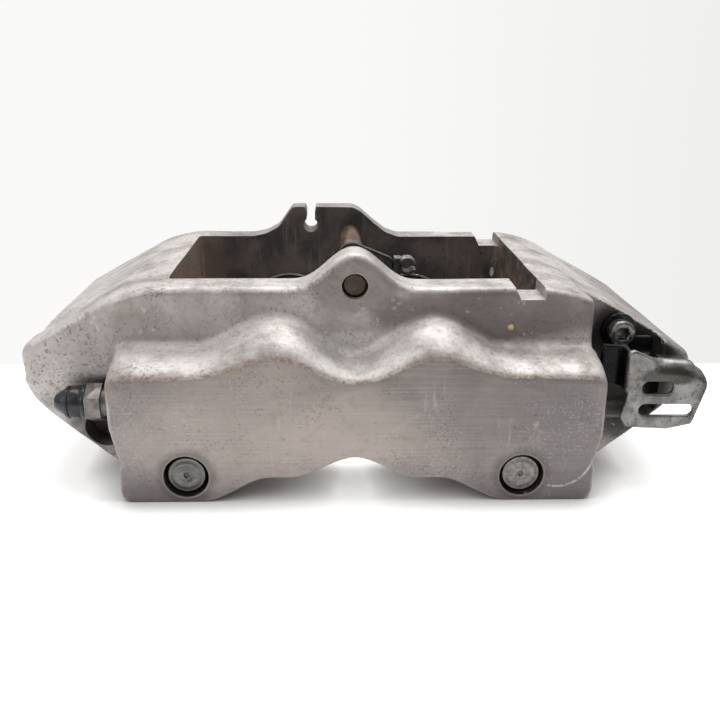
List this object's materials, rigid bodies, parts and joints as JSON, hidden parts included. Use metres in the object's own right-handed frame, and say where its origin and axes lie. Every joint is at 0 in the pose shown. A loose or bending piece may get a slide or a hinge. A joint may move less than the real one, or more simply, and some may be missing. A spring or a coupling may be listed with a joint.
{
  "type": "fixed brake caliper",
  "caption": "Fixed opposed-piston brake caliper body with open pad window, pad pin, radial mounting feet, bleed screws and a slotted hose bracket.",
  "frame": {"origin": "on the foot plane, halfway between the two mounting bolts and on the plane through their axes", "axes": "+X along the caliper away from the bleed screws towards the bracket end, +Y from the inboard (mounting) half across the disc to the outboard half, +Z radially outward from the wheel centre"},
  "size_m": [0.2155, 0.1215, 0.0764],
  "materials": {
    "cast_aluminium": "aged bead-cast skin with brushed machined faces",
    "piston_alloy": "hard-anodised, satin",
    "seal_rubber": "moulded",
    "plated_steel": "bright, thin plating",
    "boot_rubber": "moulded bellows",
    "dark_steel": "phosphated, worn",
    "pin_steel": "stained with brake dust",
    "spring_steel": "blued",
    "strap_plastic": "moulded nylon",
    "clip_plastic": "moulded nylon",
    "screw_steel": "phosphated",
    "cap_rubber": "moulded, slightly glossy",
    "zinc_steel": "zinc plated, stained",
    "bolt_steel": "zinc plated, worn"
  },
  "bodies": {
    "caliper": {"caliper_body": "cast_aluminium", "piston_seal_inboard_left": "seal_rubber", "piston_seal_inboard_right": "seal_rubber", "piston_seal_outboard_left": "seal_rubber", "piston_seal_outboard_right": "seal_rubber", "boot_ring_inboard_left": "plated_steel", "boot_ring_inboard_right": "plated_steel", "boot_ring_outboard_left": "plated_steel", "boot_ring_outboard_right": "plated_steel", "dust_boot_inboard_left": "boot_rubber", "dust_boot_inboard_right": "boot_rubber", "dust_boot_outboard_left": "boot_rubber", "dust_boot_outboard_right": "boot_rubber", "barrel_nut_left": "dark_steel", "barrel_nut_right": "dark_steel", "passage_plugs": "dark_steel", "hose_bracket": "zinc_steel", "bracket_bolt": "bolt_steel"},
    "piston_inboard_left_body": {"piston_inboard_left": "piston_alloy"},
    "piston_inboard_right_body": {"piston_inboard_right": "piston_alloy"},
    "piston_outboard_left_body": {"piston_outboard_left": "piston_alloy"},
    "piston_outboard_right_body": {"piston_outboard_right": "piston_alloy"},
    "pin": {"pad_pin": "pin_steel", "pin_sleeve": "spring_steel"},
    "lead_holder": {"lead_strap": "strap_plastic", "lead_clip": "clip_plastic"},
    "bleeder_inboard": {"bleed_screw_inboard": "screw_steel"},
    "cap_inboard": {"bleed_cap_inboard": "cap_rubber"},
    "bleeder_outboard": {"bleed_screw_outboard": "screw_steel"},
    "cap_outboard": {"bleed_cap_outboard": "cap_rubber"}
  },
  "joints": [
    {"name": "piston_inboard_left_slide", "type": "slide", "parent": "caliper", "child": "piston_inboard_left_body", "axis": [0, 1, 0], "range_m": [0, 0.012]},
    {"name": "piston_inboard_right_slide", "type": "slide", "parent": "caliper", "child": "piston_inboard_right_body", "axis": [0, 1, 0], "range_m": [0, 0.012]},
    {"name": "piston_outboard_left_slide", "type": "slide", "parent": "caliper", "child": "piston_outboard_left_body", "axis": [0, -1, 0], "range_m": [0, 0.012]},
    {"name": "piston_outboard_right_slide", "type": "slide", "parent": "caliper", "child": "piston_outboard_right_body", "axis": [0, -1, 0], "range_m": [0, 0.012]},
    {"name": "pin_slide", "type": "slide", "parent": "caliper", "child": "pin", "axis": [0, -1, 0], "range_m": [0, 0.026]},
    {"name": "strap_swing", "type": "hinge", "parent": "pin", "child": "lead_holder", "pos_m": [0, 0.0435, 0.0655], "axis": [0, 1, 0], "range_deg": [-95, 20]},
    {"name": "bleed_inboard_turn", "type": "hinge", "parent": "caliper", "child": "bleeder_inboard", "pos_m": [-0.0824, -0.001, 0.0288], "axis": [-1, 0, 0], "range_deg": [0, 360]},
    {"name": "cap_inboard_pull", "type": "slide", "parent": "bleeder_inboard", "child": "cap_inboard", "axis": [-1, 0, 0], "range_m": [0, 0.012]},
    {"name": "bleed_outboard_turn", "type": "hinge", "parent": "caliper", "child": "bleeder_outboard", "pos_m": [-0.0824, 0.0955, 0.0288], "axis": [-1, 0, 0], "range_deg": [0, 360]},
    {"name": "cap_outboard_pull", "type": "slide", "parent": "bleeder_outboard", "child": "cap_outboard", "axis": [-1, 0, 0], "range_m": [0, 0.012]}
  ]
}
